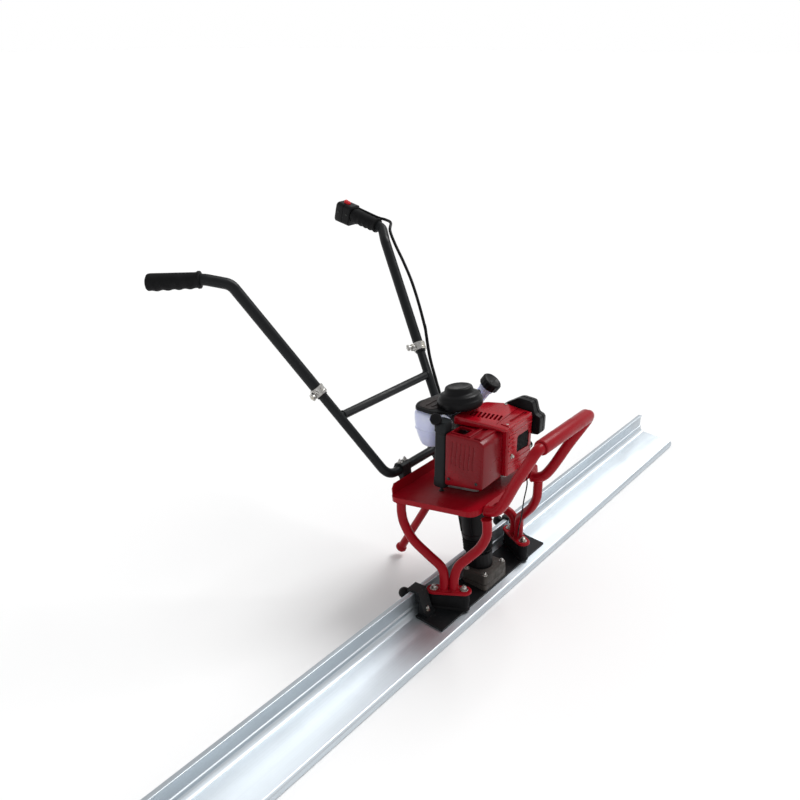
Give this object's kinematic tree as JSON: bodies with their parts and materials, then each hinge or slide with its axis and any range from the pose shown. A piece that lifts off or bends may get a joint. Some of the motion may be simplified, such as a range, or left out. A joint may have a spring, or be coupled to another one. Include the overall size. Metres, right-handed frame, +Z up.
{
  "type": "power screed",
  "caption": "Powered concrete screed: a long aluminium blade under a red tube frame, with a small engine driving an eccentric weight and a tilting handle.",
  "frame": {"origin": "centre of the blade's flat sole, on the ground under the middle of the machine", "axes": "+X along the blade, +Y back towards the operator and handles, +Z up"},
  "size_m": [2, 0.8665, 0.781],
  "materials": {
    "aluminium": "mill finish",
    "red_paint": "gloss powder coat",
    "red_shell": "gloss moulded shell",
    "black_paint": "satin paint",
    "black_plastic": "textured",
    "rubber": "matte",
    "cast_metal": "as cast",
    "steel": "zinc plated",
    "tank_plastic": "milky translucent",
    "switch_red": "moulded"
  },
  "bodies": {
    "frame": {"screed_blade": "aluminium", "base_plate": "black_paint", "blade_clamp_near": "black_paint", "blade_clamp_far": "black_paint", "rubber_mount_near": "rubber", "rubber_mount_far": "rubber", "foot_bolt_near_front": "steel", "foot_bolt_near_rear": "steel", "foot_bolt_far_front": "steel", "foot_bolt_far_rear": "steel", "leg_near": "red_paint", "leg_far": "red_paint", "deck": "red_paint", "front_loop": "red_paint", "loop_sleeve": "red_paint", "kickstand_bracket": "red_paint", "kickstand_pin": "steel", "clutch_housing": "black_plastic", "drive_bellows": "rubber", "exciter_housing": "cast_metal", "exciter_cap": "black_plastic", "crankcase": "cast_metal", "cylinder_block": "cast_metal", "top_cover": "red_shell", "muffler_cover": "red_shell", "muffler": "cast_metal", "side_column": "black_plastic", "recoil_cover": "black_plastic", "fuel_tank": "tank_plastic", "air_cleaner_cover": "black_plastic", "carburettor": "cast_metal", "handle_clamp_near": "black_paint", "handle_clamp_far": "black_paint", "throttle_cable_lower": "black_plastic", "stop_wire": "black_plastic"},
    "drive_line": {"drive_shaft": "steel", "clutch_drum": "cast_metal", "eccentric_weight": "steel"},
    "blade_knob_near": {"blade_clamp_knob_near": "black_plastic"},
    "blade_knob_far": {"blade_clamp_knob_far": "black_plastic"},
    "stand": {"kickstand": "red_paint"},
    "handle": {"lower_handle": "black_paint"},
    "upper_near": {"upper_handle_near": "black_paint", "height_clamp_near": "steel", "grip_near": "rubber"},
    "upper_far": {"upper_handle_far": "black_paint", "height_clamp_far": "steel", "grip_far": "rubber", "throttle_body": "black_plastic", "throttle_cable_upper": "black_plastic"},
    "height_knob_near": {"clamp_knob_near": "steel"},
    "height_knob_far": {"clamp_knob_far": "steel"},
    "trigger": {"throttle_trigger": "black_plastic"},
    "stop_switch": {"kill_switch": "switch_red"},
    "fuel_cap": {"fuel_cap": "black_plastic"},
    "oil_cap": {"oil_cap": "black_plastic"},
    "choke": {"choke_lever": "black_plastic"},
    "primer": {"primer_bulb": "rubber"},
    "starter_grip": {"recoil_grip": "black_plastic"}
  },
  "joints": [
    {"name": "drive_spin", "type": "hinge", "parent": "frame", "child": "drive_line", "pos_m": [0, 0.042, 0.26165], "axis": [0, 0.1392, 0.9903], "continuous": true},
    {"name": "blade_knob_near_turn", "type": "hinge", "parent": "frame", "child": "blade_knob_near", "pos_m": [-0.196, 0.07, 0.058], "axis": [0, 1, 0], "continuous": true},
    {"name": "blade_knob_far_turn", "type": "hinge", "parent": "frame", "child": "blade_knob_far", "pos_m": [0.196, 0.07, 0.058], "axis": [0, 1, 0], "continuous": true},
    {"name": "kickstand_fold", "type": "hinge", "parent": "frame", "child": "stand", "pos_m": [0, 0.118, 0.231], "axis": [1, 0, 0], "range_deg": [0, 34]},
    {"name": "handle_tilt", "type": "hinge", "parent": "frame", "child": "handle", "pos_m": [0, 0.184, 0.28], "axis": [1, 0, 0], "range_deg": [-15, 10]},
    {"name": "upper_near_slide", "type": "slide", "parent": "handle", "child": "upper_near", "axis": [-0.2705, 0.5671, 0.7779], "range_m": [-0.03, 0.05]},
    {"name": "upper_far_slide", "type": "slide", "parent": "handle", "child": "upper_far", "axis": [0.2705, 0.5671, 0.7779], "range_m": [-0.03, 0.05]},
    {"name": "height_knob_near_turn", "type": "hinge", "parent": "upper_near", "child": "height_knob_near", "pos_m": [-0.18614, 0.32266, 0.4702], "axis": [-0.9412, -0.3258, -0.0897], "continuous": true},
    {"name": "height_knob_far_turn", "type": "hinge", "parent": "upper_far", "child": "height_knob_far", "pos_m": [0.18614, 0.32266, 0.4702], "axis": [-0.9412, 0.3258, 0.0897], "continuous": true},
    {"name": "trigger_squeeze", "type": "hinge", "parent": "upper_far", "child": "trigger", "pos_m": [0.33403, 0.6566, 0.72742], "axis": [-0.5748, 0.1772, -0.7988], "range_deg": [0, 7], "stiffness_Nm_per_rad": 1.2, "springref_deg": -2.86},
    {"name": "stop_switch_slide", "type": "slide", "parent": "upper_far", "child": "stop_switch", "axis": [-0.0069, 0.9752, 0.2213], "range_m": [-0.004, 0]},
    {"name": "fuel_cap_turn", "type": "hinge", "parent": "frame", "child": "fuel_cap", "pos_m": [0.116, 0.079, 0.445], "axis": [0.1227, -0.5622, 0.8178], "continuous": true},
    {"name": "oil_cap_turn", "type": "hinge", "parent": "frame", "child": "oil_cap", "pos_m": [-0.092, 0.077, 0.433], "axis": [-0.7791, -0.3196, 0.5394], "continuous": true},
    {"name": "choke_turn", "type": "hinge", "parent": "frame", "child": "choke", "pos_m": [0.1175, 0.022, 0.34], "axis": [1, 0, 0], "range_deg": [0, 35]},
    {"name": "primer_press", "type": "slide", "parent": "frame", "child": "primer", "axis": [0, 1, 0], "range_m": [0, 0.0035], "stiffness_N_per_m": 400, "springref_m": -0.002},
    {"name": "starter_pull", "type": "slide", "parent": "frame", "child": "starter_grip", "axis": [0.5, 0, 0.866], "range_m": [0, 0.045], "stiffness_N_per_m": 60, "springref_m": -0.02}
  ]
}
